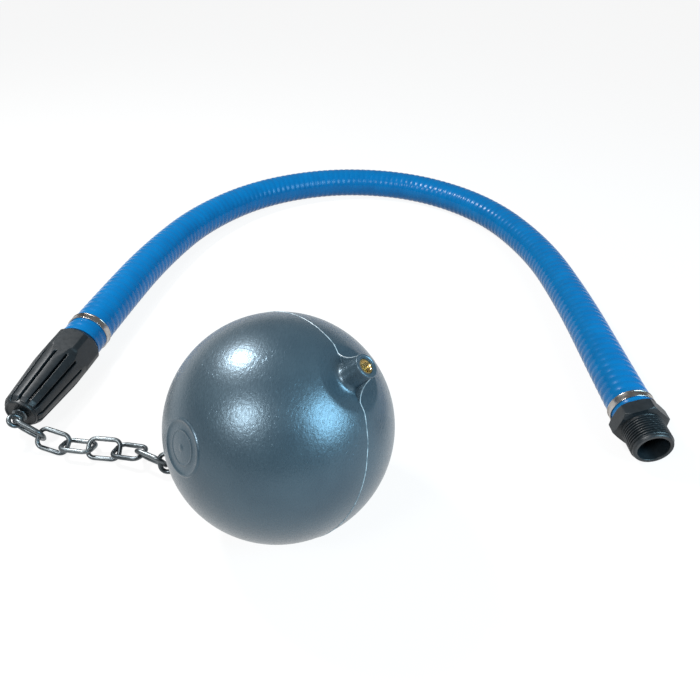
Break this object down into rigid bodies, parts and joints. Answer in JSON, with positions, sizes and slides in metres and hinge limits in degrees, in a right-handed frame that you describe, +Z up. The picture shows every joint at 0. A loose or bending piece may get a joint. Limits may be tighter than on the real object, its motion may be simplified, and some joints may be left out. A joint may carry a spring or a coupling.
{
  "type": "floating suction strainer",
  "caption": "Floating suction kit: a float ball carries a slotted foot-valve strainer by a chain, and a ribbed hose leads from it to a male threaded adapter.",
  "frame": {"origin": "on the floor below the middle of the strainer, chain and float, leaving out the hose and what is on it", "axes": "+X from the strainer past the chain to the float, +Y from the strainer along the start of its hose, +Z up"},
  "size_m": [0.5291, 0.637, 0.1501],
  "materials": {
    "blue_hose": "bright blue flexible PVC, semi-gloss, fine helical ribs",
    "black_plastic": "black glass-filled nylon, satin moulded",
    "valve_plastic": "natural white acetal",
    "float_plastic": "slate blue-grey blow-moulded polyethylene, finely scuffed",
    "seal_rubber": "black nitrile rubber",
    "clamp_steel": "bright stainless band",
    "chain_steel": "polished stainless wire",
    "fitting_steel": "turned and polished stainless",
    "brass": "turned brass"
  },
  "bodies": {
    "strainer": {"strainer_basket": "black_plastic", "hose_tail": "black_plastic", "head_gasket": "seal_rubber", "stem_guide": "black_plastic", "eye_bolt": "fitting_steel", "eye_washer": "fitting_steel", "eye_nut": "fitting_steel", "inlet_clamp": "clamp_steel", "suction_hose": "blue_hose", "outlet_clamp": "clamp_steel", "thread_adapter": "black_plastic"},
    "poppet": {"poppet": "valve_plastic", "poppet_seal": "seal_rubber"},
    "link_1": {"chain_link_1": "chain_steel"},
    "link_2": {"chain_link_2": "chain_steel"},
    "link_3": {"chain_link_3": "chain_steel"},
    "link_4": {"chain_link_4": "chain_steel"},
    "link_5": {"chain_link_5": "chain_steel"},
    "link_6": {"chain_link_6": "chain_steel"},
    "link_7": {"chain_link_7": "chain_steel"},
    "link_8": {"chain_link_8": "chain_steel"},
    "float": {"float_ball": "float_plastic", "insert_top": "brass", "insert_bottom": "brass", "float_eye": "fitting_steel"}
  },
  "joints": [
    {"name": "valve_lift", "type": "slide", "parent": "strainer", "child": "poppet", "axis": [0, 1, 0], "range_m": [0, 0.006]},
    {"name": "link_1_swing", "type": "hinge", "parent": "strainer", "child": "link_1", "pos_m": [-0.13176, -0.01988, 0.01779], "axis": [0.0799, 0.9944, -0.0695], "range_deg": [-10, 25]},
    {"name": "link_2_swing", "type": "hinge", "parent": "link_1", "child": "link_2", "pos_m": [-0.11338, -0.02198, 0.00896], "axis": [-0.3718, 0.3534, -0.8584], "range_deg": [-25, 25]},
    {"name": "link_3_swing", "type": "hinge", "parent": "link_2", "child": "link_3", "pos_m": [-0.09304, -0.02411, 0.00605], "axis": [0.1731, 0.6843, 0.7084], "range_deg": [-25, 25]},
    {"name": "link_4_swing", "type": "hinge", "parent": "link_3", "child": "link_4", "pos_m": [-0.07248, -0.02331, 0.0072], "axis": [-0.0195, 0.9509, -0.309], "range_deg": [-25, 25]},
    {"name": "link_5_swing", "type": "hinge", "parent": "link_4", "child": "link_5", "pos_m": [-0.05209, -0.02113, 0.0064], "axis": [-0.0567, 0.7641, 0.6426], "range_deg": [-25, 25]},
    {"name": "link_6_swing", "type": "hinge", "parent": "link_5", "child": "link_6", "pos_m": [-0.03182, -0.02292, 0.00889], "axis": [0.1044, 0.9849, -0.138], "range_deg": [-25, 25]},
    {"name": "link_7_swing", "type": "hinge", "parent": "link_6", "child": "link_7", "pos_m": [-0.01222, -0.02926, 0.00895], "axis": [-0.1274, -0.3866, 0.9134], "range_deg": [-25, 25]},
    {"name": "link_8_swing", "type": "hinge", "parent": "link_7", "child": "link_8", "pos_m": [0.0075, -0.02374, 0.01084], "axis": [-0.1911, 0.3716, 0.9085], "range_deg": [-25, 25]},
    {"name": "float_swing", "type": "hinge", "parent": "link_8", "child": "float", "pos_m": [0.02792, -0.02686, 0.00891], "axis": [0.1685, 0.9556, 0.2418], "range_deg": [-20, 20]}
  ]
}
